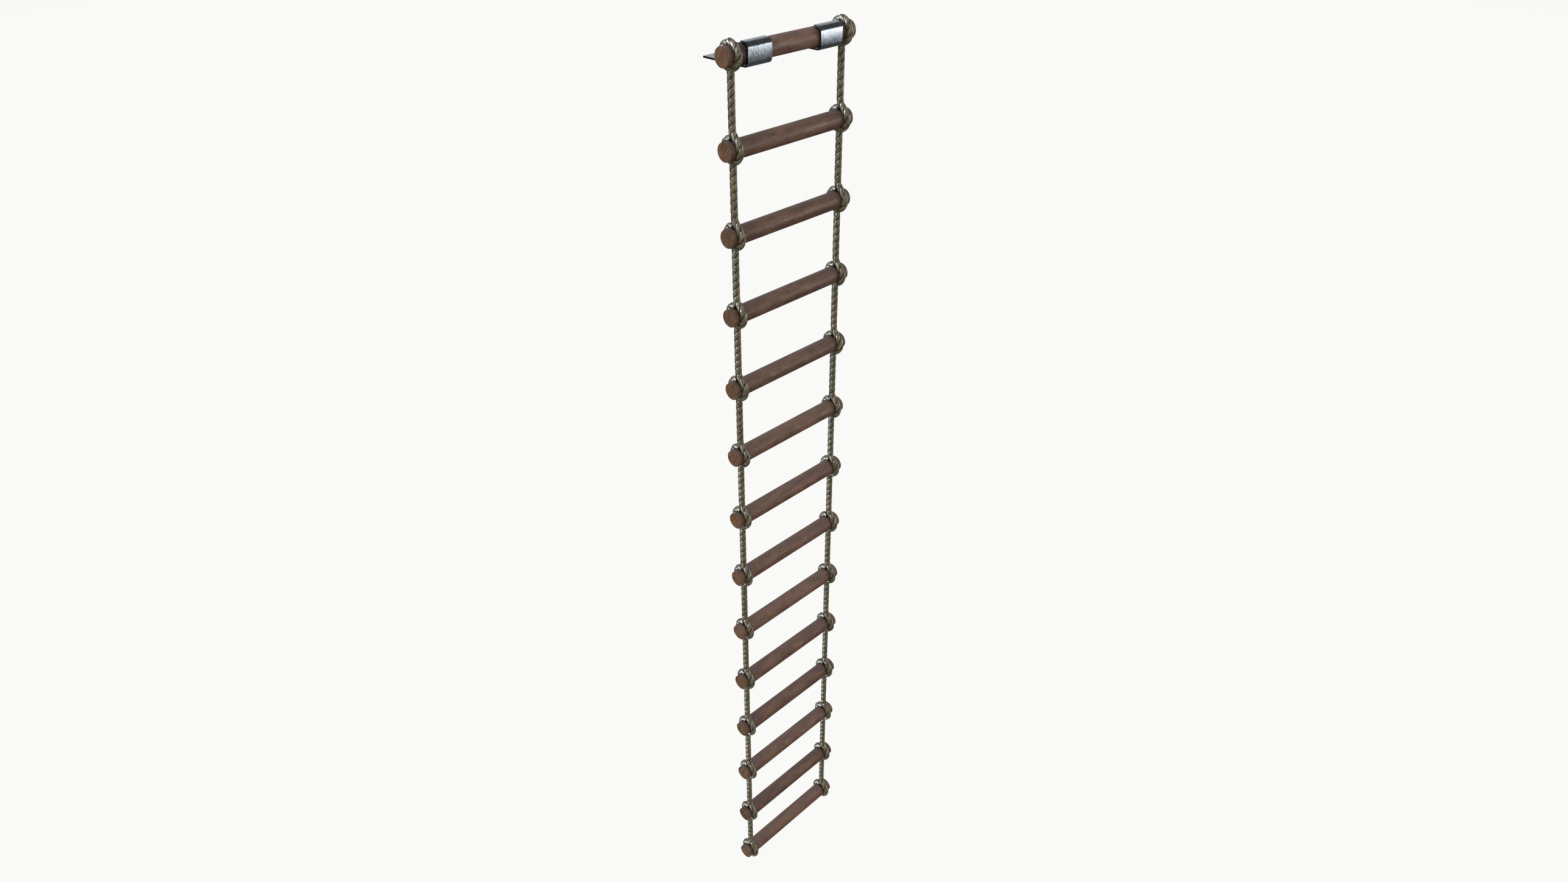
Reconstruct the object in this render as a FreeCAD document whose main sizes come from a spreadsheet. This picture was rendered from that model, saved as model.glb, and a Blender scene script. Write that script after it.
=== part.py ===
"""Escape rope ladder: a hooked top bar and thirteen wooden rungs on two twisted side ropes.

Frame: X runs along the bars, -Y is the climber's side, +Y is the building's side, +Z is up.
The origin lies on the plane of the two tongues' undersides, below the middle of the top bar.
Lengths are in millimetres.
"""
import FreeCAD, Part
import Sketcher
import math
import os

DIMENSIONS = {
    "bar_length": 450.0,
    "bar_diameter": 50.0,
    "bar_edge_break": 1.0,
    "bar_spacing": 225.0,
    "last_spacing": 215.0,
    "rope_diameter": 19.0,
    "turn_rope_diameter": 18.6,
    "rope_offset": 197.0,
    "turn_radius": 28.5,
    "rope_clearance": 0.2,
    "swing_gap": 0.5,
    "hook_offset": 126.5,
    "hook_width": 81.0,
    "strip_thickness": 5.0,
    "hook_fit_gap": 0.1,
    "strip_edge_radius": 0.6,
    "upper_bend_radius": 10.0,
    "lower_bend_radius": 8.0,
    "tongue_reach": 130.0,
    "lip_setback": 4.5,
    "screw_offset": 20.0,
    "screw_diameter": 5.0,
    "screw_length": 32.0,
    "screw_tip_length": 5.0,
    "screw_tip_diameter": 1.0,
    "screw_head_diameter": 10.0,
    "screw_head_depth": 2.5,
    "screw_head_recess": 0.2,
    "socket_width": 3.0,
    "socket_depth": 1.6,
    "screw_hole_clearance": 0.1,
}
RUNG_COUNT = 13
SIDES = {"left": -1, "right": 1}
AXIS_HEIGHT = "(Dimensions.bar_diameter / 2 + Dimensions.hook_fit_gap + Dimensions.strip_thickness)"
SCREW_SIDES = (-1, 1)

doc = FreeCAD.newDocument("escape_rope_ladder")


def make_sheet():
    """The driving dimensions, one per row: its name and its value."""
    sheet = doc.addObject("Spreadsheet::Sheet", "Dimensions")
    for row, (name, value) in enumerate(DIMENSIONS.items(), start=1):
        sheet.set(f"A{row}", name)
        sheet.set(f"B{row}", str(value))
        sheet.setAlias(f"B{row}", name)
    doc.recompute()
    return sheet


def bind(thing, **expressions):
    """Tie properties to the sheet; a double underscore stands for the dot in a property's name."""
    for name, expression in expressions.items():
        thing.setExpression(name.replace("__", "."), expression)


def bar_height(index):
    """Expression for the height of a bar's axis; the top bar is number 0."""
    if index < RUNG_COUNT:
        return f"{AXIS_HEIGHT} - {index} * Dimensions.bar_spacing"
    return f"{AXIS_HEIGHT} - {index - 1} * Dimensions.bar_spacing - Dimensions.last_spacing"


def make_body(name, height, offset="0"):
    """An empty body whose own origin sits on a bar's axis."""
    body = doc.addObject("PartDesign::Body", name)
    body.Label = name
    bind(body, Placement__Base__x=offset, Placement__Base__z=height)
    return body


def origin_feature(body, role):
    return next(feature for feature in body.Origin.OriginFeatures if feature.Role == role)


def make_sketch(body, name, plane):
    sketch = body.newObject("Sketcher::SketchObject", name)
    sketch.AttachmentSupport = [(origin_feature(body, plane), "")]
    sketch.MapMode = "FlatFace"
    return sketch


def dimension(sketch, name, expression, *constraint):
    """Add one named dimension to a sketch and tie it to the sheet."""
    index = sketch.addConstraint(Sketcher.Constraint(*constraint))
    sketch.renameConstraint(index, name)
    sketch.setExpression(f"Constraints.{name}", expression)


def add_circle(sketch, name, centre, radius, radius_expression, across=None, along=None):
    """A circle whose radius and, where given, centre distances from the sketch's origin are driven."""
    normal = FreeCAD.Vector(0, 0, 1)
    circle = sketch.addGeometry(Part.Circle(FreeCAD.Vector(*centre, 0), normal, radius), False)
    dimension(sketch, f"{name}_radius", radius_expression, "Radius", circle, radius)
    for letter, value, expression in (("X", centre[0], across), ("Y", centre[1], along)):
        if expression is None:
            sketch.addConstraint(Sketcher.Constraint("PointOnObject", circle, 3, -2 if letter == "X" else -1))
        elif value > 0:
            dimension(sketch, f"{name}_{letter}", expression, f"Distance{letter}", -1, 1, circle, 3, value)
        else:
            dimension(sketch, f"{name}_{letter}", expression, f"Distance{letter}", circle, 3, -1, 1, -value)
    return circle


def make_bar(sheet, name, height):
    """A round wooden bar with, near each end, a turned seat and a cross hole for the rope."""
    body = make_body(name, height)

    section = make_sketch(body, f"{name}_section", "YZ_Plane")
    add_circle(section, "bar", (0, 0), sheet.bar_diameter / 2, "Dimensions.bar_diameter / 2")
    pad = body.newObject("PartDesign::Pad", f"{name}_pad")
    pad.Profile = section
    pad.SideType = "Symmetric"
    bind(pad, Length="Dimensions.bar_length")
    doc.recompute()

    ends = [f"Edge{number}" for number, edge in enumerate(pad.Shape.Edges, start=1)
            if abs(abs(edge.CenterOfMass.x) - sheet.bar_length / 2) < sheet.bar_edge_break]
    edge_break = body.newObject("PartDesign::Chamfer", f"{name}_edge_break")
    edge_break.Base = (pad, ends)
    bind(edge_break, Size="Dimensions.bar_edge_break")

    holes = make_sketch(body, f"{name}_hole_section", "XY_Plane")
    hole_radius = sheet.rope_diameter / 2 + sheet.rope_clearance
    for side, sign in SIDES.items():
        add_circle(holes, f"{side}_hole", (sign * sheet.rope_offset, 0), hole_radius,
                   "Dimensions.rope_diameter / 2 + Dimensions.rope_clearance",
                   "Dimensions.rope_offset")
    pocket = body.newObject("PartDesign::Pocket", f"{name}_holes")
    pocket.Profile = holes
    pocket.SideType = "Symmetric"
    bind(pocket, Length="Dimensions.bar_diameter * 2")

    for side, sign in SIDES.items():
        seat = body.newObject("PartDesign::SubtractiveTorus", f"{name}_{side}_seat")
        seat.Placement.Rotation = FreeCAD.Rotation(FreeCAD.Vector(0, 1, 0), 90)
        bind(seat, Radius1="Dimensions.turn_radius",
             Radius2="Dimensions.turn_rope_diameter / 2 + Dimensions.rope_clearance",
             Placement__Base__x=f"{sign} * Dimensions.rope_offset")
    doc.recompute()
    stages = [feature.Shape.Volume for feature in body.Group if hasattr(feature, "AddSubShape")]
    if any(after >= before for before, after in zip(stages, stages[1:])):
        raise RuntimeError(f"{name}: a cut removed nothing: {stages}")
    return body


def add_screw_cuts(body, prefix, offset, bottom, cuts):
    """Subtract coaxial upright cones from a body at both screw places.

    Each cut is (name, radius at its foot, radius at its top, height of the foot above bottom, height).
    """
    for sign in SCREW_SIDES:
        for name, foot_radius, top_radius, foot, height in cuts:
            before = body.Tip.Shape.Volume
            cut = body.newObject("PartDesign::SubtractiveCone", f"{prefix}_{name}")
            bind(cut, Radius1=foot_radius, Radius2=top_radius, Height=height,
                 Placement__Base__x=f"{offset} + {sign} * Dimensions.screw_offset",
                 Placement__Base__z=f"{bottom} + {foot}")
            doc.recompute()
            if cut.Shape.Volume >= before:
                raise RuntimeError(f"{cut.Label}: the screw hole removed nothing")


def make_top_bar(sheet):
    """The top bar is a rung with blind pilot holes for the screws that hold the hooks."""
    body = make_bar(sheet, "top_bar", bar_height(0))
    pilot = "Dimensions.screw_diameter / 2 + Dimensions.screw_hole_clearance"
    depth = "Dimensions.screw_length + Dimensions.screw_hole_clearance"
    underside = f"-{AXIS_HEIGHT}"
    for side, sign in SIDES.items():
        cut = ("pilot", pilot, f"{pilot} * 0.999", "0", depth)
        add_screw_cuts(body, f"top_bar_{side}", f"{sign} * Dimensions.hook_offset", underside, [cut])
    return body


def make_hook(sheet, side, sign):
    """A flat steel strip bent over the bar's front: lip on top, plate in front, tongue below.

    The strip's outline is drawn in the bar's cross plane, with the bar's axis at its origin.
    """
    name = f"{side}_hook"
    body = make_body(name, AXIS_HEIGHT, f"{sign} * Dimensions.hook_offset")
    outline = make_sketch(body, f"{name}_outline", "YZ_Plane")

    inner = sheet.bar_diameter / 2 + sheet.hook_fit_gap
    outer = inner + sheet.strip_thickness
    lower = inner - sheet.lower_bend_radius
    upper = inner - sheet.upper_bend_radius
    lip = sheet.lip_setback
    reach = sheet.tongue_reach

    def bend(centre, radius, first_quarter):
        circle = Part.Circle(FreeCAD.Vector(*centre, 0), FreeCAD.Vector(0, 0, 1), radius)
        start_angle = first_quarter * math.pi / 2
        return outline.addGeometry(Part.ArcOfCircle(circle, start_angle, start_angle + math.pi / 2), False)

    def line(start, end):
        segment = Part.LineSegment(FreeCAD.Vector(*start, 0), FreeCAD.Vector(*end, 0))
        return outline.addGeometry(segment, False)

    tongue_underside = line((reach, -outer), (-lower, -outer))
    lower_bend_outside = bend((-lower, -lower), outer - lower, 2)
    plate_front = line((-outer, -lower), (-outer, upper))
    upper_bend_outside = bend((-upper, upper), outer - upper, 1)
    lip_top = line((-upper, outer), (-lip, outer))
    lip_end = line((-lip, outer), (-lip, inner))
    lip_underside = line((-lip, inner), (-upper, inner))
    upper_bend_inside = bend((-upper, upper), inner - upper, 1)
    plate_back = line((-inner, upper), (-inner, -lower))
    lower_bend_inside = bend((-lower, -lower), inner - lower, 2)
    tongue_top = line((-lower, -inner), (reach, -inner))
    tongue_tip = line((reach, -inner), (reach, -outer))

    start, end, centre = 1, 2, 3
    for joint in (
        ("Tangent", tongue_underside, end, lower_bend_outside, end),
        ("Tangent", lower_bend_outside, start, plate_front, start),
        ("Tangent", plate_front, end, upper_bend_outside, end),
        ("Tangent", upper_bend_outside, start, lip_top, start),
        ("Coincident", lip_top, end, lip_end, start),
        ("Coincident", lip_end, end, lip_underside, start),
        ("Tangent", lip_underside, end, upper_bend_inside, start),
        ("Tangent", upper_bend_inside, end, plate_back, start),
        ("Tangent", plate_back, end, lower_bend_inside, start),
        ("Tangent", lower_bend_inside, end, tongue_top, start),
        ("Coincident", tongue_top, end, tongue_tip, start),
        ("Coincident", tongue_tip, end, tongue_underside, start),
        ("Coincident", upper_bend_outside, centre, upper_bend_inside, centre),
        ("Coincident", lower_bend_outside, centre, lower_bend_inside, centre),
    ):
        outline.addConstraint(Sketcher.Constraint(*joint))
    for flat in (tongue_underside, tongue_top, lip_top, lip_underside):
        outline.addConstraint(Sketcher.Constraint("Horizontal", flat))
    for upright in (plate_front, plate_back, lip_end, tongue_tip):
        outline.addConstraint(Sketcher.Constraint("Vertical", upright))

    inner_reach = "Dimensions.bar_diameter / 2 + Dimensions.hook_fit_gap"
    outer_reach = f"{inner_reach} + Dimensions.strip_thickness"
    for title, expression, *constraint in (
        ("underside", outer_reach, "DistanceY", tongue_underside, start, -1, 1, outer),
        ("front", outer_reach, "DistanceX", plate_front, start, -1, 1, outer),
        ("back", inner_reach, "DistanceX", plate_back, start, -1, 1, inner),
        ("top", outer_reach, "DistanceY", -1, 1, lip_top, start, outer),
        ("setback", "Dimensions.lip_setback", "DistanceX", lip_end, start, -1, 1, lip),
        ("reach", "Dimensions.tongue_reach", "DistanceX", -1, 1, tongue_tip, start, reach),
        ("upper_bend", "Dimensions.upper_bend_radius", "Radius", upper_bend_inside, inner - upper),
        ("lower_bend", "Dimensions.lower_bend_radius", "Radius", lower_bend_inside, inner - lower),
    ):
        dimension(outline, title, expression, *constraint)

    pad = body.newObject("PartDesign::Pad", f"{name}_strip")
    pad.Profile = outline
    pad.SideType = "Symmetric"
    bind(pad, Length="Dimensions.hook_width")
    doc.recompute()
    rounding = body.newObject("PartDesign::Fillet", f"{name}_edges")
    rounding.Base = (pad, [])
    rounding.UseAllEdges = True
    bind(rounding, Radius="Dimensions.strip_edge_radius")
    doc.recompute()

    shank = "Dimensions.screw_diameter / 2 + Dimensions.screw_hole_clearance"
    head = "Dimensions.screw_head_diameter / 2"
    recess = "Dimensions.screw_head_recess"
    cuts = (
        ("head_recess", head, f"{head} * 0.999", "0", recess),
        ("countersink", head, shank, recess, "Dimensions.screw_head_depth"),
        ("shank_hole", shank, f"{shank} * 0.999", "0", "Dimensions.strip_thickness * 1.5"),
    )
    add_screw_cuts(body, name, "0", f"-({outer_reach})", cuts)
    return body


def make_screws():
    """Four equal countersunk wood screws, driven up through the tongues into the top bar."""
    screws = []
    for side, sign in SIDES.items():
        for place in SCREW_SIDES:
            name = f"{side}_screw_{'inner' if place * sign < 0 else 'outer'}"
            across = f"{sign} * Dimensions.hook_offset + {place} * Dimensions.screw_offset"
            head = doc.addObject("Part::Cone", f"{name}_head")
            bind(head, Radius1="Dimensions.screw_head_diameter / 2",
                 Radius2="Dimensions.screw_diameter / 2", Height="Dimensions.screw_head_depth")
            shank = doc.addObject("Part::Cylinder", f"{name}_shank")
            bind(shank, Radius="Dimensions.screw_diameter / 2",
                 Height="Dimensions.screw_length - Dimensions.screw_tip_length "
                        "- Dimensions.screw_head_depth - Dimensions.screw_head_recess",
                 Placement__Base__z="Dimensions.screw_head_depth")
            tip = doc.addObject("Part::Cone", f"{name}_tip")
            bind(tip, Radius1="Dimensions.screw_diameter / 2", Radius2="Dimensions.screw_tip_diameter / 2",
                 Height="Dimensions.screw_tip_length",
                 Placement__Base__z="Dimensions.screw_length - Dimensions.screw_tip_length "
                                    "- Dimensions.screw_head_recess")
            blank = doc.addObject("Part::MultiFuse", f"{name}_blank")
            blank.Shapes = [head, shank, tip]
            socket = doc.addObject("Part::Prism", f"{name}_socket")
            socket.Polygon = 6
            bind(socket, Circumradius="Dimensions.socket_width / sqrt(3)", Height="Dimensions.socket_depth")
            screw = doc.addObject("Part::Cut", name)
            screw.Base = blank
            screw.Tool = socket
            bind(screw, Placement__Base__x=across, Placement__Base__z="Dimensions.screw_head_recess")
            screws.append(screw)
    group = doc.addObject("Part::Compound", "hook_screws")
    group.Label = "hook_screws"
    group.Links = screws
    return group


def make_rope(side, sign, index):
    """One stretch of side rope: the run down to a bar, its turn round the bar and its way through it.

    The run starts just clear of the turn above, which lets it swing about the bar above.
    """
    name = f"{side}_rope_{index:02d}"
    across = f"{sign} * Dimensions.rope_offset"
    height = bar_height(index)
    turn = doc.addObject("Part::Torus", f"{name}_turn")
    turn.Placement.Rotation = FreeCAD.Rotation(FreeCAD.Vector(0, 1, 0), 90)
    bind(turn, Radius1="Dimensions.turn_radius", Radius2="Dimensions.turn_rope_diameter / 2",
         Placement__Base__x=across, Placement__Base__z=height)
    foot = f"{height} - Dimensions.turn_radius"
    if index == 0:
        top = f"{height} + Dimensions.turn_radius"
    else:
        turn_outside = "Dimensions.turn_radius + Dimensions.turn_rope_diameter / 2"
        top = f"{bar_height(index - 1)} - ({turn_outside}) - Dimensions.swing_gap"
    run = doc.addObject("Part::Cylinder", f"{name}_run")
    bind(run, Radius="Dimensions.rope_diameter / 2", Height=f"({top}) - ({foot})",
         Placement__Base__x=across, Placement__Base__z=foot)
    rope = doc.addObject("Part::MultiFuse", name)
    rope.Label = name
    rope.Shapes = [run, turn]
    return rope


def make_nodes(sheet):
    """Every separate piece of the ladder, each of which becomes one file."""
    nodes = [make_top_bar(sheet)]
    for index in range(1, RUNG_COUNT + 1):
        nodes.append(make_bar(sheet, f"rung_{index:02d}", bar_height(index)))
    for side, sign in SIDES.items():
        nodes.append(make_hook(sheet, side, sign))
        for index in range(RUNG_COUNT + 1):
            nodes.append(make_rope(side, sign, index))
    nodes.append(make_screws())
    return nodes


def check_and_export(nodes):
    doc.recompute()
    for thing in doc.Objects:
        if {"Invalid", "Error"} & set(thing.State):
            raise RuntimeError(f"{thing.Label} did not compute: {thing.State}")
    for node in nodes:
        if node.Shape.isNull() or not node.Shape.isValid():
            raise RuntimeError(f"{node.Label} has no valid shape")
    os.makedirs("parts", exist_ok=True)
    for node in nodes:
        node.Shape.exportStep(f"parts/{node.Label}.step")
        box = node.Shape.BoundBox
        print(f"{node.Label}: {len(node.Shape.Solids)} solid(s), {node.Shape.Volume:.0f} mm3, "
              f"X {box.XMin:.1f}..{box.XMax:.1f} Y {box.YMin:.1f}..{box.YMax:.1f} "
              f"Z {box.ZMin:.1f}..{box.ZMax:.1f}")


check_and_export(make_nodes(make_sheet()))
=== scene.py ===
"""Looks of the escape rope ladder: twisted rope, worn steel hooks and stained wooden bars.

Lengths are in metres, in the model's own frame: X along the bars, -Y towards the climber, Z up.
"""
import math

import bpy
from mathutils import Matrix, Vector


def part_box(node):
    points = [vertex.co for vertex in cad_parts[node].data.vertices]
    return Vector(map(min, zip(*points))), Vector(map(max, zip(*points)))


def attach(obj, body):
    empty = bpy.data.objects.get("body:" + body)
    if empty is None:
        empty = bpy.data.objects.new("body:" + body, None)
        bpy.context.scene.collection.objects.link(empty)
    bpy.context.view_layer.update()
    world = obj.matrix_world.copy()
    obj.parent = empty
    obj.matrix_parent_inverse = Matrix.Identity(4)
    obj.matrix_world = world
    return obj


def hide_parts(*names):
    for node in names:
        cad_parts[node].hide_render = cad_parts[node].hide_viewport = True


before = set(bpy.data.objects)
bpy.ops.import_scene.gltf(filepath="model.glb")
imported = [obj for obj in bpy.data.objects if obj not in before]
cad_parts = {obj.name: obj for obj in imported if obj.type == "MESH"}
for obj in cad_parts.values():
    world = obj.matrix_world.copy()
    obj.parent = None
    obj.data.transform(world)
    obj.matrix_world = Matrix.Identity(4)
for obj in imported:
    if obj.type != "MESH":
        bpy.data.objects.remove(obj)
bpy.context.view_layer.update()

# ---------------------------------------------------------------- places, read from the frame

SIDES = ("left", "right")
RUNG_COUNT = sum(1 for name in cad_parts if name.startswith("rung_"))


def centre(node):
    """The middle of a node's box at rest."""
    low, high = (Vector(corner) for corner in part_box(node))
    return (low + high) / 2


def bar_node(index):
    return "top_bar" if index == 0 else f"rung_{index:02d}"


def body_name(index):
    return "top" if index == 0 else f"step_{index:02d}"


BAR_HEIGHT = [centre(bar_node(index)).z for index in range(RUNG_COUNT + 1)]
ROPE_X = {side: centre(f"{side}_rope_00").x for side in SIDES}

# ---------------------------------------------------------------- shader helpers


def new_tree(name):
    """A new material with only its output left, and that output's node."""
    material = bpy.data.materials.new(name)
    material.use_nodes = True
    tree = material.node_tree
    tree.nodes.clear()
    return material, tree, tree.nodes.new("ShaderNodeOutputMaterial")


def put(tree, socket, value):
    """Link a socket to an input, or set the input to a plain value."""
    if isinstance(value, bpy.types.NodeSocket):
        tree.links.new(value, socket)
    else:
        socket.default_value = value


def add(tree, kind, settings=None, **inputs):
    """A shader node with its settings and inputs; an input's underscores stand for spaces."""
    made = tree.nodes.new(f"ShaderNode{kind}")
    for name, value in (settings or {}).items():
        setattr(made, name, value)
    for name, value in inputs.items():
        put(tree, made.inputs[name.replace("_", " ")], value)
    return made


def math_node(tree, operation, *values):
    made = tree.nodes.new("ShaderNodeMath")
    made.operation = operation
    for socket, value in zip(made.inputs, values):
        put(tree, socket, value)
    return made.outputs[0]


def product(tree, *factors):
    result = factors[0]
    for factor in factors[1:]:
        result = math_node(tree, "MULTIPLY", result, factor)
    return result


def weighted(tree, *parts, start=0.0):
    """The sum of (value, weight) parts, on top of a start value."""
    total = start
    for value, weight in parts:
        total = math_node(tree, "MULTIPLY_ADD", value, weight, total)
    return total


def between(tree, value, low, high, to_low=0.0, to_high=1.0):
    """Smoothly carry a value from one range to another."""
    made = add(tree, "MapRange", {"interpolation_type": "SMOOTHSTEP"}, Value=value)
    for name, limit in (("From Min", low), ("From Max", high), ("To Min", to_low), ("To Max", to_high)):
        put(tree, made.inputs[name], limit)
    return made.outputs["Result"]


def fading(tree, value, low, high, to_high=0.0):
    """Smoothly fall from one to less as a value crosses a range."""
    return between(tree, value, low, high, 1.0, to_high)


def band(tree, value, rise, fall):
    """One between two ranges: it grows over the first and fades over the second."""
    return product(tree, between(tree, value, *rise), fading(tree, value, *fall))


def mix_colour(tree, factor, first, second, blend="MIX"):
    made = tree.nodes.new("ShaderNodeMix")
    made.data_type = "RGBA"
    made.blend_type = blend
    colour_a, colour_b = (socket for socket in made.inputs if socket.type == "RGBA")
    put(tree, made.inputs["Factor"], factor)
    put(tree, colour_a, first)
    put(tree, colour_b, second)
    return next(socket for socket in made.outputs if socket.type == "RGBA")


def ramp(tree, factor, stops):
    """A colour ramp through (position, (red, green, blue)) stops."""
    made = add(tree, "ValToRGB", Fac=factor)
    elements = made.color_ramp.elements
    while len(elements) < len(stops):
        elements.new(0.5)
    for element, (position, colour) in zip(elements, stops):
        element.position = position
        element.color = (*colour, 1)
    return made.outputs["Color"]


def noise(tree, vector, scale, detail=4.0, roughness=0.55, distortion=0.0):
    made = add(tree, "TexNoise", Vector=vector, Scale=scale, Detail=detail, Roughness=roughness,
               Distortion=distortion)
    return made.outputs["Fac"]


def stretched(tree, vector, x, y, z):
    made = add(tree, "VectorMath", {"operation": "MULTIPLY"})
    put(tree, made.inputs[0], vector)
    made.inputs[1].default_value = (x, y, z)
    return made.outputs[0]


def split(tree, vector):
    return add(tree, "SeparateXYZ", Vector=vector).outputs


def object_point(tree):
    return add(tree, "TexCoord").outputs["Object"]


def surface_normal(tree):
    """The normal in the piece's own frame, so that it doesn't change when the piece swings."""
    return add(tree, "TexCoord").outputs["Normal"]


def bumped(tree, height, distance, strength=1.0, under=None):
    made = add(tree, "Bump", Height=height, Distance=distance, Strength=strength)
    if under is not None:
        put(tree, made.inputs["Normal"], under)
    return made.outputs["Normal"]


def finish_surface(tree, output, **inputs):
    shader = add(tree, "BsdfPrincipled", **inputs)
    tree.links.new(shader.outputs["BSDF"], output.inputs["Surface"])


# ---------------------------------------------------------------- materials


BAR_SPACING = BAR_HEIGHT[0] - BAR_HEIGHT[1]

# The wood's growth lines: how wide they are, and how much they change across and up a bar.
GROWTH_LINE = 0.0030
GROWTH_ACROSS = 0.865
GROWTH_UP = 0.50

SIDE_GRAIN = [(0.31, (0.037, 0.018, 0.012)), (0.450, (0.090, 0.045, 0.029)),
              (0.56, (0.162, 0.081, 0.051)), (0.72, (0.360, 0.180, 0.106))]
END_GRAIN = [(0.34, (0.074, 0.039, 0.021)), (0.465, (0.150, 0.083, 0.047)),
             (0.56, (0.220, 0.125, 0.071)), (0.69, (0.350, 0.205, 0.122))]
PORE_COLOUR = (0.020, 0.011, 0.009, 1)
TOP_SHEEN_COLOUR = (0.128, 0.098, 0.092, 1)
HELD_COLOUR = (0.215, 0.112, 0.068, 1)
ROPE_CONTACT_DARK_COLOUR = (0.014, 0.011, 0.011, 1)
HOOK_PAINTED_SHADE_COLOUR = (0.030, 0.026, 0.028, 1)

# The darkest and the lightest bar, and where a bar's own marks fade: the rubbed middle by the distance from
# the bar's middle, the darkening by a rope by the distance from the rope, and the painted shade beside a hook
# by the distance from the bar's middle and by height.
BAR_TONES = (0.84, 1.12)
HELD_MIDDLE = (0.09, 0.165)
ROPE_MARK = (0.009, 0.020)
HOOK_SHADE = ((0.158, 0.168), (0.200, 0.210))
HOOK_SHADE_FLOOR = (-0.02, 0.0)


def wood_grain(tree, point):
    """The wood's patterns: growth lines through the bar, fibres, streaks, patches and pores."""
    along, across, up = split(tree, point)

    def drawn_out(share, scale, **settings):
        """Noise in lines along the bar; the smaller the share, the longer the lines."""
        return noise(tree, stretched(tree, point, share, 1, 1), scale, **settings)

    warp = drawn_out(0.06, scale=26, detail=2)
    through = weighted(tree, (up, GROWTH_UP), (across, GROWTH_ACROSS), (warp, 0.006))
    beside = weighted(tree, (across, -GROWTH_UP), (up, GROWTH_ACROSS))
    layer = add(tree, "CombineXYZ", X=product(tree, along, 0.05), Y=through, Z=product(tree, beside, 0.09))
    growth = noise(tree, layer.outputs[0], scale=1 / GROWTH_LINE, detail=3, roughness=0.65)
    fibres = drawn_out(0.07, scale=620, detail=3, roughness=0.7)
    streaks = drawn_out(0.11, scale=300, detail=5, roughness=0.7, distortion=0.3)
    patches = drawn_out(0.30, scale=50, detail=4, roughness=0.6)
    pores = drawn_out(0.06, scale=1300, detail=2)
    return growth, fibres, streaks, patches, pores


def bar_shade(tree, up):
    """A grey that differs from bar to bar, chosen by the bar's height."""
    bar_number = math_node(tree, "FLOOR", weighted(tree, (up, 1 / BAR_SPACING), start=0.5))
    bar_tone = add(tree, "TexWhiteNoise", {"noise_dimensions": "1D"}, W=bar_number).outputs["Value"]
    shade = between(tree, bar_tone, 0, 1, *BAR_TONES)
    return add(tree, "CombineXYZ", X=shade, Y=shade, Z=shade).outputs[0]


def with_wear_and_painted_shade(tree, colour, along, up, patches):
    """The wood's colour with its marks: a rubbed middle, darkening by the ropes, and painted shade beside the
    hooks.
    """
    from_middle = math_node(tree, "ABSOLUTE", along)
    held = product(tree, fading(tree, from_middle, *HELD_MIDDLE), between(tree, patches, 0.42, 0.62), 0.30)
    colour = mix_colour(tree, held, colour, HELD_COLOUR)
    from_rope = math_node(tree, "ABSOLUTE", math_node(tree, "SUBTRACT", from_middle, abs(ROPE_X["left"])))
    # The bar is darker in blotches where a rope lies on it.
    dark_by_rope = product(tree, fading(tree, from_rope, *ROPE_MARK),
                    fading(tree, patches, 0.25, 0.6, to_high=0.6), 0.8)
    colour = mix_colour(tree, dark_by_rope, colour, ROPE_CONTACT_DARK_COLOUR)
    # Painted shade: the top bar is darkened between each hook and its rope.
    hook_shade_mask = product(tree, band(tree, from_middle, *HOOK_SHADE), between(tree, up, *HOOK_SHADE_FLOOR), 0.55)
    return mix_colour(tree, hook_shade_mask, colour, HOOK_PAINTED_SHADE_COLOUR)


def stained_wood():
    """Reddish stain over straight grain, greyer on top from a painted sheen, with growth lines on the sawn
    ends.
    """
    material, tree, output = new_tree("stained_wood")
    point = object_point(tree)
    along, _, up = split(tree, point)
    growth, fibres, streaks, patches, pores = wood_grain(tree, point)

    grain = weighted(tree, (fibres, 0.30), (growth, 0.12), (streaks, 0.40), (patches, 0.18))
    side = ramp(tree, grain, SIDE_GRAIN)
    side = mix_colour(tree, between(tree, pores, 0.60, 0.70, to_high=0.6), side, PORE_COLOUR)
    facing_along, _, facing_up = split(tree, surface_normal(tree))
    # Painted sheen: faces turned upwards are mixed towards a pale grey-blue.
    painted_top_sheen = product(tree, between(tree, facing_up, 0.35, 1.0), 0.42)
    side = mix_colour(tree, painted_top_sheen, side, TOP_SHEEN_COLOUR)

    end_grain = weighted(tree, (fibres, 0.26), (growth, 0.62), (patches, 0.12))
    is_end = between(tree, math_node(tree, "ABSOLUTE", facing_along), 0.6, 0.85)
    colour = mix_colour(tree, is_end, side, ramp(tree, end_grain, END_GRAIN))
    colour = mix_colour(tree, 1.0, colour, bar_shade(tree, up), "MULTIPLY")
    colour = with_wear_and_painted_shade(tree, colour, along, up, patches)

    roughness = weighted(tree, (streaks, 0.25), (is_end, 0.25), start=0.34)
    gloss = weighted(tree, (is_end, -0.18), start=0.38)
    relief = weighted(tree, (streaks, 0.8), start=fibres)
    finish_surface(tree, output, Base_Color=colour, Roughness=roughness, Specular_IOR_Level=gloss,
                   Normal=bumped(tree, relief, 0.0003, 0.5))
    return material


YARN_SLANT = 22
YARNS_ACROSS = 4
ROPE_TONES = [(0.40, (0.021, 0.018, 0.010)), (0.48, (0.092, 0.076, 0.040)),
              (0.55, (0.228, 0.188, 0.099)), (0.64, (0.560, 0.468, 0.250))]
GROOVE_SHADE_COLOUR = (0.011, 0.010, 0.007, 1)
SHEEN_COLOUR = (0.75, 0.83, 0.95, 1)


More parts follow.
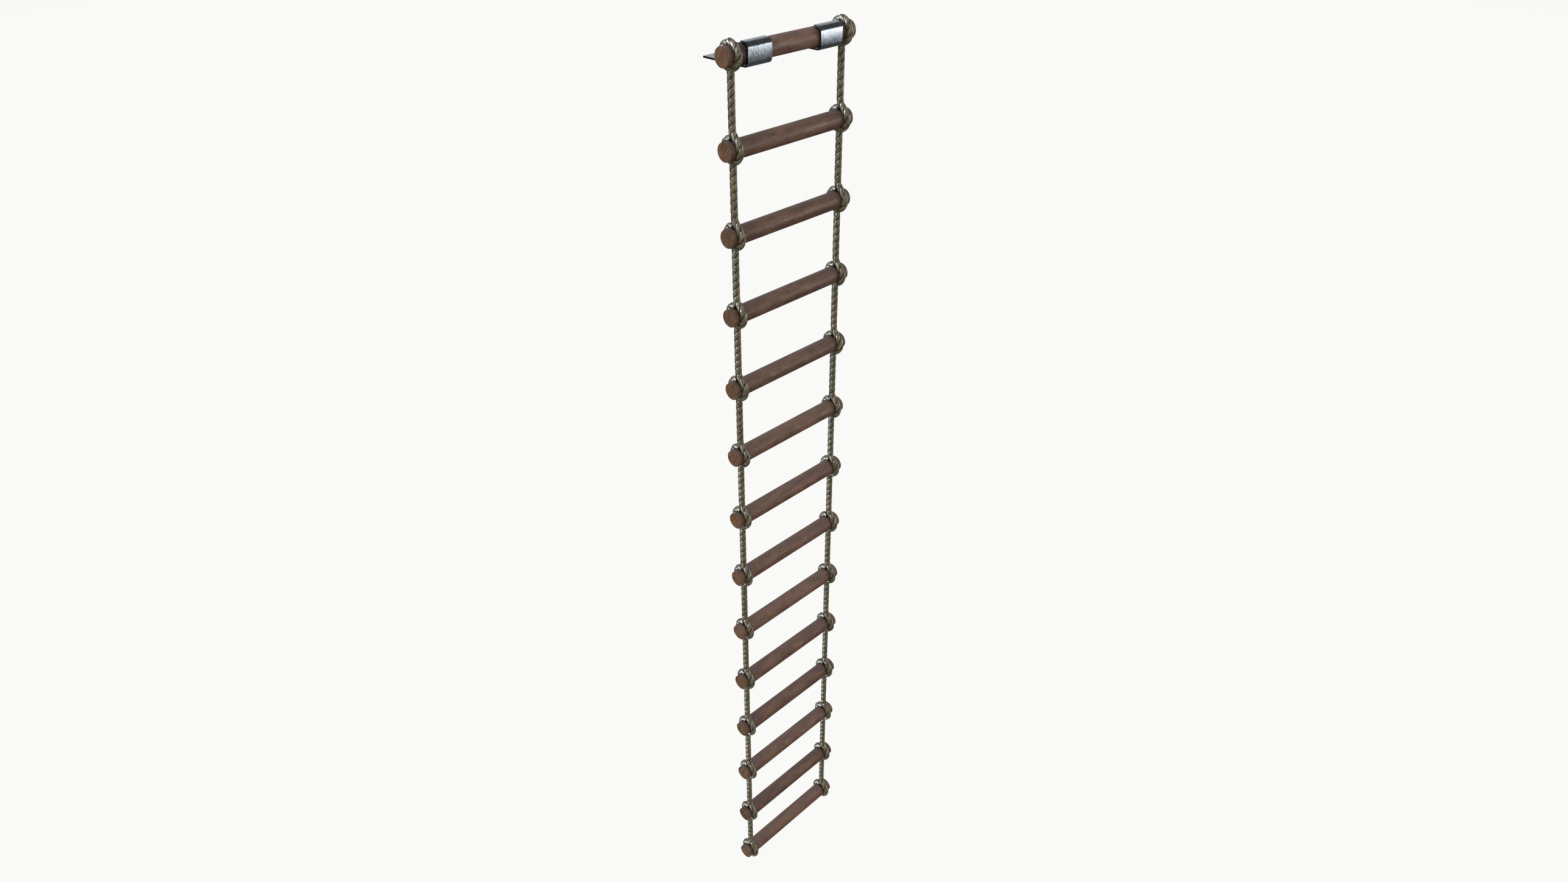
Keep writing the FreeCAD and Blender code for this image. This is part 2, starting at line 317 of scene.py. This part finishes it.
def laid_rope():
    """Olive fibre rope, with painted shade in the grooves between its strands.

    The "lay" map holds the distance along the rope and the place across a strand; the "strand" map
    holds the strand's number and the height above the groove.
    """
    material, tree, output = new_tree("laid_rope")
    along, across, _ = split(tree, add(tree, "UVMap", {"uv_map": "lay"}).outputs["UV"])
    strand, height, _ = split(tree, add(tree, "UVMap", {"uv_map": "strand"}).outputs["UV"])

    def strand_noise(along_scale, place, scale, **settings):
        """Noise over one strand, different on each strand."""
        spot = add(tree, "CombineXYZ", X=product(tree, along, along_scale), Y=place, Z=strand)
        return noise(tree, spot.outputs[0], scale, **settings)

    waver = strand_noise(95, across, scale=0.9, detail=2)
    yarn_place = weighted(tree, (waver, 0.30), start=weighted(tree, (along, YARN_SLANT), start=across))
    yarn = math_node(tree, "SINE", product(tree, yarn_place, math.pi * YARNS_ACROSS))
    yarn = weighted(tree, (yarn, 0.5), start=0.5)
    streaks = strand_noise(330, product(tree, yarn_place, 6.5), scale=1.0, detail=3, roughness=0.75)
    hairs = strand_noise(260, product(tree, yarn_place, 44), scale=1.0, detail=3, roughness=0.7)
    blotches = noise(tree, object_point(tree), scale=60, detail=3)

    tone = weighted(tree, (yarn, 0.08), (streaks, 0.62), (hairs, 0.18), (blotches, 0.12))
    # Painted shade: darker towards the grooves between the strands.
    groove_shade = product(tree, fading(tree, height, 0.30, 1.0), 0.88)
    colour = mix_colour(tree, groove_shade, ramp(tree, tone, ROPE_TONES), GROOVE_SHADE_COLOUR)
    roughness = weighted(tree, (streaks, 0.20), start=0.27)
    relief = weighted(tree, (hairs, 0.4), (streaks, 0.7), start=yarn)
    finish_surface(tree, output, Base_Color=colour, Roughness=roughness, Specular_IOR_Level=0.75,
                   Sheen_Weight=0.04, Sheen_Roughness=0.3, Sheen_Tint=SHEEN_COLOUR,
                   Normal=bumped(tree, relief, 0.0003, 0.5))
    return material


STEEL_TONES = [(0.34, (0.270, 0.280, 0.302)), (0.50, (0.470, 0.485, 0.515)), (0.66, (0.680, 0.695, 0.725))]
EDGE_SHADE_COLOUR = (0.060, 0.068, 0.075, 1)
INNER_BEND_LIGHT_COLOUR = (0.80, 0.83, 0.87, 1)

# The hook's plate bulges a little about this height; the depths are those of its marks.
CROWN_MIDDLE = 0.030
CROWN_CURVE = 3.5
MOTTLE_DEPTH = 0.00016
BRUSHING_DEPTH = 0.00003


def worn_strip_steel():
    """Bright strip steel: a mottled, brushed, slightly crowned face, side edges darkened as painted shade,
    and a pale patch of painted light inside the lower bend, where the steel turns non-metallic."""
    material, tree, output = new_tree("worn_strip_steel")
    point = object_point(tree)
    _, forward, up = split(tree, point)
    facing_along, _, facing_up = split(tree, surface_normal(tree))
    brushing = noise(tree, stretched(tree, point, 1, 1, 0.15), scale=500, detail=3, roughness=0.6)
    mottle = noise(tree, stretched(tree, point, 1, 1, 0.42), scale=260, detail=4, roughness=0.6,
                   distortion=0.15)
    clouds = noise(tree, point, scale=60, detail=4, roughness=0.6)

    tone = weighted(tree, (brushing, 0.25), (mottle, 0.5), (clouds, 0.25))
    # Painted shade: the side edges are darkened.
    shaded_edges = between(tree, math_node(tree, "ABSOLUTE", facing_along), 0.10, 0.55, to_high=0.82)
    colour = mix_colour(tree, shaded_edges, ramp(tree, tone, STEEL_TONES), EDGE_SHADE_COLOUR)
    # Painted light: a pale, nearly non-metallic patch inside the lower bend, where shade would fall.
    inner_bend_light = product(tree, between(tree, facing_up, 0.1, 0.4), fading(tree, up, 0.012, 0.020),
                     fading(tree, forward, -0.012, -0.004))
    colour = mix_colour(tree, inner_bend_light, colour, INNER_BEND_LIGHT_COLOUR)

    off_middle = math_node(tree, "SUBTRACT", up, CROWN_MIDDLE)
    crown = product(tree, off_middle, off_middle, -CROWN_CURVE)
    soft = bumped(tree, weighted(tree, (mottle, MOTTLE_DEPTH), start=crown), 1.0)
    fine = bumped(tree, brushing, BRUSHING_DEPTH, 0.6, under=soft)
    finish_surface(tree, output, Base_Color=colour, Metallic=weighted(tree, (inner_bend_light, -0.9), start=1.0),
                   Roughness=weighted(tree, (mottle, 0.22), start=0.14), Normal=fine)
    return material


def screw_steel():
    """Plain grey, slightly rough screws."""
    material, tree, output = new_tree("screw_steel")
    grain = noise(tree, object_point(tree), scale=900, detail=4)
    colour = ramp(tree, grain, [(0.3, (0.16, 0.16, 0.17)), (0.7, (0.42, 0.42, 0.43))])
    finish_surface(tree, output, Base_Color=colour, Metallic=1.0,
                   Roughness=weighted(tree, (grain, 0.3), start=0.2), Normal=bumped(tree, grain, 0.0001, 0.4))
    return material


def studio_paint():
    """Pale, evenly glowing studio surface, with hardly any variation."""
    material, tree, output = new_tree("studio_paint")
    texture = noise(tree, object_point(tree), scale=0.6, detail=2)
    colour = ramp(tree, texture, [(0.0, (0.926, 0.926, 0.909)), (1.0, (0.934, 0.934, 0.917))])
    finish_surface(tree, output, Base_Color=(0.02, 0.02, 0.02, 1), Roughness=1.0, Specular_IOR_Level=0.0,
                   Emission_Color=colour, Emission_Strength=1.0)
    return material


# ---------------------------------------------------------------- rope

STRANDS = 3
LAY_LENGTH = 0.065
STRAND_TOP = 0.0096
GROOVE_DEPTH = 0.0015
GROOVE_POWER = 4
STRAND_COLUMNS = 14
RING_STEP = 0.002
# The cut ends take this height, so the grooves' painted shade darkens them.
CUT_END_HEIGHT = 0.3

# How far a stretch stands off to each side, and the angle that its strands start at, by bar and by side.
SIDE_STEP = 0.0010
BAR_TWIST = 0.9
SIDE_TWIST = {"left": 0.0, "right": 1.7}

# A stretch's route, as (y, z) places about its bar's axis. RUN_FOOT brings the straight run to the front of
# the bar, TURN goes down, under the bar and up behind it, and TAIL tucks the end in under the run. HEAD
# starts the turn that has no run above it.
TURN = [(-0.0209, 0.0209), (-0.0285, 0.0076), (-0.0285, -0.0076), (-0.0209, -0.0209), (-0.0076, -0.0285),
        (0.0076, -0.0285), (0.0209, -0.0209), (0.0285, -0.0076), (0.0285, 0.0076), (0.0209, 0.0209)]
TAIL = [(0.0095, 0.0285), (0.0005, 0.0272)]
HEAD = [(0.0045, 0.0312), (-0.0076, 0.0295)]
RUN_TOP_DROP = 0.030
RUN_FOOT = [(0.0, 0.115), (0.0, 0.051), (-0.0014, 0.0412), (-0.0110, 0.0310)]


def hitch_route(index):
    """The route of one stretch of side rope, as (y, z) places about its bar's axis.

    It hangs straight from inside the turn above and flows into the front of its own turn. The top
    turn has no rope above it, and starts over its own tail.
    """
    if index == 0:
        return HEAD + TURN + TAIL
    span = BAR_HEIGHT[index - 1] - BAR_HEIGHT[index]
    return [(0.0, span - RUN_TOP_DROP)] + RUN_FOOT + TURN + TAIL


def spline_points(points):
    """Points read from the smooth line of a route."""
    curve = bpy.data.curves.new("route", "CURVE")
    curve.dimensions = "3D"
    spline = curve.splines.new("NURBS")
    spline.points.add(len(points) - 1)
    for control, point in zip(spline.points, points):
        control.co = (*point, 1)
    spline.order_u = 3
    spline.use_endpoint_u = True
    spline.resolution_u = 16
    guide = bpy.data.objects.new("route", curve)
    bpy.context.scene.collection.objects.link(guide)
    line = bpy.data.meshes.new_from_object(guide)
    found = [vertex.co.copy() for vertex in line.vertices]
    bpy.data.meshes.remove(line)
    bpy.data.objects.remove(guide)
    bpy.data.curves.remove(curve)
    return found


def even_steps(points, step):
    """Points along a line at near-equal steps, as (point, distance along) pairs."""
    marks = [0.0]
    for start, end in zip(points, points[1:]):
        marks.append(marks[-1] + (end - start).length)
    count = max(2, round(marks[-1] / step))
    placed = []
    run = 0
    for number in range(count + 1):
        distance = marks[-1] * number / count
        while run < len(points) - 2 and marks[run + 1] < distance:
            run += 1
        share = (distance - marks[run]) / (marks[run + 1] - marks[run])
        placed.append((points[run].lerp(points[run + 1], share), distance))
    return placed


def strand_section():
    """The rope's outline between two grooves, as (angle, radius, place across the strand) columns."""
    half = math.pi / STRANDS
    columns = []
    for column in range(STRAND_COLUMNS):
        place = 2 * column / STRAND_COLUMNS - 1
        radius = STRAND_TOP - GROOVE_DEPTH * abs(place) ** GROOVE_POWER
        columns.append((half * place, radius, place))
    return columns


def rope_columns():
    """The whole outline, strand by strand, as (angle, radius, place across the strand, strand) columns."""
    return [(angle + 2 * math.pi * strand / STRANDS, radius, place, strand)
            for strand in range(STRANDS) for angle, radius, place in strand_section()]


def rope_rings(placed, columns, phase):
    """Rings of vertices round a line in a plane of constant X, with a right-handed twist."""
    sideways = Vector((1, 0, 0))
    vertices = []
    for number, (point, distance) in enumerate(placed):
        before = placed[max(number - 1, 0)][0]
        after = placed[min(number + 1, len(placed) - 1)][0]
        tangent = (after - before).normalized()
        outward = sideways.cross(tangent).normalized()
        side = tangent.cross(outward)
        turn = phase + 2 * math.pi * distance / LAY_LENGTH
        for angle, radius, _, _ in columns:
            around = turn + angle
            vertices.append(point + radius * (math.cos(around) * outward + math.sin(around) * side))
    return vertices


def rope_skin(placed, columns, phase):
    """The faces between the rings and over both ends, and the "lay" and "strand" maps of their corners."""
    width = len(columns)
    radii = [radius for _, radius, _, _ in columns]
    lowest, highest = min(radii), max(radii)
    faces = []
    lay_map = []
    strand_map = []
    for ring in range(len(placed) - 1):
        for column, (_, radius, place, strand) in enumerate(columns):
            following = (column + 1) % width
            faces.append((ring * width + column, ring * width + following,
                          (ring + 1) * width + following, (ring + 1) * width + column))
            next_radius = radii[following]
            next_place = place + 2 / STRAND_COLUMNS
            for row, across, height in ((ring, place, radius), (ring, next_place, next_radius),
                                        (ring + 1, next_place, next_radius), (ring + 1, place, radius)):
                lay_map.append((placed[row][1], across))
                strand_map.append((strand + phase, (height - lowest) / (highest - lowest)))
    for ring, order in ((0, -1), (len(placed) - 1, 1)):
        faces.append(tuple(ring * width + column for column in range(width))[::order])
        for _, _, place, strand in columns[::order]:
            lay_map.append((placed[ring][1], place))
            strand_map.append((strand + phase, CUT_END_HEIGHT))
    return faces, {"lay": lay_map, "strand": strand_map}


def twisted_rope(name, points, phase):
    """A piece of rope of three strands laid up right-handed along a line."""
    placed = even_steps(points, RING_STEP)
    columns = rope_columns()
    faces, maps = rope_skin(placed, columns, phase)
    mesh = bpy.data.meshes.new(name)
    mesh.from_pydata(rope_rings(placed, columns, phase), [], faces)
    for map_name, values in maps.items():
        layer = mesh.uv_layers.new(name=map_name)
        layer.data.foreach_set("uv", [number for pair in values for number in pair])
    mesh.shade_smooth()
    piece = bpy.data.objects.new(name, mesh)
    bpy.context.scene.collection.objects.link(piece)
    return piece


def make_ropes(material):
    """One piece of rope for each bar and side: the run down to the bar and its turn round it.

    Each route moves a little sideways on its way, so that the turn's end lies beside its start.
    """
    ropes = []
    for side in SIDES:
        for index in range(RUNG_COUNT + 1):
            route = hitch_route(index)
            last = len(route) - 1
            points = [(ROPE_X[side] + SIDE_STEP * (1 - 2 * number / last), y, BAR_HEIGHT[index] + z)
                      for number, (y, z) in enumerate(route)]
            line = spline_points(points)
            phase = BAR_TWIST * index + SIDE_TWIST[side]
            piece = twisted_rope(f"{side}_side_rope_{index:02d}", line, phase)
            piece.data.materials.append(material)
            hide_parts(f"{side}_rope_{index:02d}")
            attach(piece, body_name(index))
            ropes.append(piece)
    return ropes


# ---------------------------------------------------------------- carried-over parts


def give_material(node, material):
    """Put a material on a carried-over part."""
    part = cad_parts[node]
    for material_slot in part.material_slots:
        material_slot.material = material


def finish_frame():
    """Wood on the bars and steel on the hooks and their screws."""
    wood = stained_wood()
    steel = worn_strip_steel()
    for index in range(RUNG_COUNT + 1):
        give_material(bar_node(index), wood)
    for side in SIDES:
        give_material(f"{side}_hook", steel)
    give_material("hook_screws", screw_steel())


# ---------------------------------------------------------------- studio

CAMERA_PLACE = (-1.9647, -1.9143, 0.6104)
CAMERA_YAW = math.radians(45.52)
CAMERA_DIP = math.radians(32.46)
CAMERA_VIEW = math.radians(72.70)
FLOOR_DROP = 0.30
STUDIO_HALF = 22.0
CLIP_END = 200.0

# The air's glow, by the direction that it comes from. A range is where a part of it grows or fades.
AIR_GLOW = 0.07
AIR_COLOUR = (0.90, 0.96, 1.0, 1)
WALL_GLOW = 0.52
WALL_BACK = (0.05, 0.50)
WALL_RISE = (-0.08, 0.05)
WALL_FADE = (0.44, 0.62)
CEILING_GLOW = 0.40
CEILING_RISE = (0.80, 0.96)
FLOOR_GLOW = 0.40
FLOOR_FADE = (-0.92, -0.80)
WINDOW_GLOW = 14.0
WINDOW_SIDEWAYS = (0.695, 0.719, 0.0)
WINDOW_WIDTH = ((-0.11, 0.25), (0.27, 0.39))
WINDOW_RISE = (-0.42, 0.12)
WINDOW_RISE_POWER = 1.8
WINDOW_FADE = (0.06, 0.26)
WINDOW_FRONT = (-0.25, 0.0)

SKY_FROM = (-0.38, -0.36, 0.85)
SKY_SPREAD = 170
SKY_STRENGTH = 3.15
SKY_COLOUR = (1.0, 0.99, 0.97)

# The rim lights of the ropes stand behind the ladder, on its left. A level is its first bar, the bar after
# its last one, and how high its light stands.
RIM_SIDE = -0.76
RIM_BACK = 0.52
RIM_SPREAD = 22
RIM_STRENGTH = 7.5
RIM_COLOUR = (0.84, 0.91, 1.0)
RIM_LEVELS = ((0, 3, 0.39), (3, 6, 0.12), (6, 10, -0.08), (10, RUNG_COUNT + 1, -0.24))


def stage_mesh(name, corners, faces, material):
    mesh = bpy.data.meshes.new(name)
    mesh.from_pydata(corners, [], faces)
    mesh.materials.append(material)
    made = bpy.data.objects.new(name, mesh)
    bpy.context.scene.collection.objects.link(made)
    return made


def make_stage():
    """A wide pale floor, and a backdrop of the same paint that only closes the picture behind it."""
    ground = min(BAR_HEIGHT) - FLOOR_DROP
    paint = studio_paint()
    around = [(-1, -1), (1, -1), (1, 1), (-1, 1)]
    low = [(STUDIO_HALF * x, STUDIO_HALF * y, ground) for x, y in around]
    high = [(x, y, STUDIO_HALF) for x, y, _ in low]
    floor = stage_mesh("studio_floor", low, [(0, 1, 2, 3)], paint)
    floor.visible_glossy = False
    floor.visible_diffuse = False
    sides = [(side, (side + 1) % 4, (side + 1) % 4 + 4, side + 4) for side in range(4)]
    backdrop = stage_mesh("studio_backdrop", low + high, sides + [(4, 5, 6, 7)], paint)
    backdrop.visible_diffuse = False
    backdrop.visible_glossy = False
    backdrop.visible_shadow = False


def make_camera():
    data = bpy.data.cameras.new("camera")
    data.angle = CAMERA_VIEW
    data.clip_end = CLIP_END
    camera = bpy.data.objects.new("camera", data)
    camera.location = CAMERA_PLACE
    camera.rotation_euler = (math.pi / 2 - CAMERA_DIP, 0, -CAMERA_YAW)
    bpy.context.scene.collection.objects.link(camera)
    bpy.context.scene.camera = camera


def collected(name, pieces):
    """A collection of pieces for light linking."""
    made = bpy.data.collections.new(name)
    for piece in pieces:
        made.objects.link(piece)
    return made


def make_distant_light(name, source, spread, strength, colour):
    """A sun that shines from where its source points to, softened by a spread in degrees."""
    data = bpy.data.lights.new(name, "SUN")
    data.angle = math.radians(spread)
    data.energy = strength
    data.color = colour
    lamp = bpy.data.objects.new(name, data)
    lamp.rotation_euler = (-Vector(source)).to_track_quat("-Z", "Y").to_euler()
    lamp.visible_camera = False
    bpy.context.scene.collection.objects.link(lamp)
    return lamp


def make_lights(ropes):
    """A wide soft sky that lights but doesn't shine, and rim lights that only shine on the ropes.

    The lower a rope hangs, the more steeply it is seen, so the lower its rim light stands.
    """
    sky = make_distant_light("sky", SKY_FROM, SKY_SPREAD, SKY_STRENGTH, SKY_COLOUR)
    sky.visible_glossy = False
    solid = collected("blocks_rim", [*ropes, *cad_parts.values()])
    for first, after_last, height in RIM_LEVELS:
        lit = [rope for rope in ropes if first <= int(rope.name[-2:]) < after_last]
        rim = make_distant_light(f"rim_{first:02d}", (RIM_SIDE, RIM_BACK, height), RIM_SPREAD, RIM_STRENGTH,
                                 RIM_COLOUR)
        rim.visible_diffuse = False
        rim.light_linking.receiver_collection = collected(f"lit_by_{rim.name}", lit)
        rim.light_linking.blocker_collection = solid


def make_air():
    """What shines in the gloss: a pale wall behind the ladder, a tall bright window at its right front,
    and a faint ceiling and floor."""
    world = bpy.data.worlds.new("studio_air")
    world.use_nodes = True
    tree = world.node_tree
    direction = add(tree, "TexCoord").outputs["Generated"]
    _, back, up = split(tree, direction)
    sideways = add(tree, "VectorMath", {"operation": "DOT_PRODUCT"})
    put(tree, sideways.inputs[0], direction)
    put(tree, sideways.inputs[1], WINDOW_SIDEWAYS)
    wall = product(tree, between(tree, back, *WALL_BACK), band(tree, up, WALL_RISE, WALL_FADE))
    window = product(tree, band(tree, sideways.outputs["Value"], *WINDOW_WIDTH),
                     math_node(tree, "POWER", between(tree, up, *WINDOW_RISE), WINDOW_RISE_POWER),
                     fading(tree, up, *WINDOW_FADE), fading(tree, back, *WINDOW_FRONT))
    ceiling = between(tree, up, *CEILING_RISE)
    floor = fading(tree, up, *FLOOR_FADE)
    glow = weighted(tree, (wall, WALL_GLOW), (ceiling, CEILING_GLOW), (floor, FLOOR_GLOW),
                    (window, WINDOW_GLOW), start=AIR_GLOW)
    background = tree.nodes["Background"]
    put(tree, background.inputs["Color"], AIR_COLOUR)
    put(tree, background.inputs["Strength"], glow)
    bpy.context.scene.world = world


def make_studio(ropes):
    make_stage()
    make_camera()
    make_air()
    make_lights(ropes)
    bpy.context.scene.view_settings.view_transform = "Standard"


ropes = make_ropes(laid_rope())
finish_frame()
make_studio(ropes)
